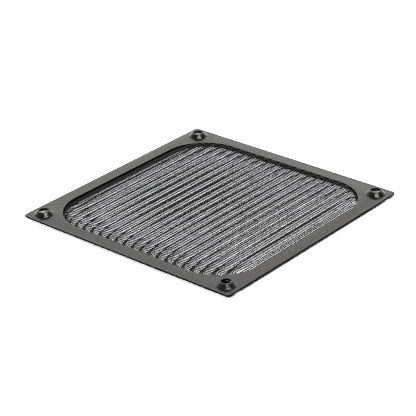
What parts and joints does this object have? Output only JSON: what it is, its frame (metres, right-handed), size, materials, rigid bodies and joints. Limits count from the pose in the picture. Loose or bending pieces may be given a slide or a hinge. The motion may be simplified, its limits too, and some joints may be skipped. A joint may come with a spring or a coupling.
{
  "type": "fan dust filter",
  "caption": "Square aluminium fan dust filter, all black: a flat frame with raised conical screw bosses holds a pleated wire mesh in its rounded opening.",
  "frame": {"origin": "centre of the rear ring's underside, which is the plane that the filter lies on", "axes": "+Z through the filter towards the raised bosses and the fan, +Y along the pleats, +X across them"},
  "size_m": [0.118, 0.118, 0.004],
  "materials": {
    "front_frame": "satin black",
    "pleated_mesh": "satin black wire",
    "rear_ring": "satin black"
  },
  "bodies": {
    "root": {"front_frame": "front_frame", "pleated_mesh": "pleated_mesh", "rear_ring": "rear_ring"}
  },
  "joints": []
}
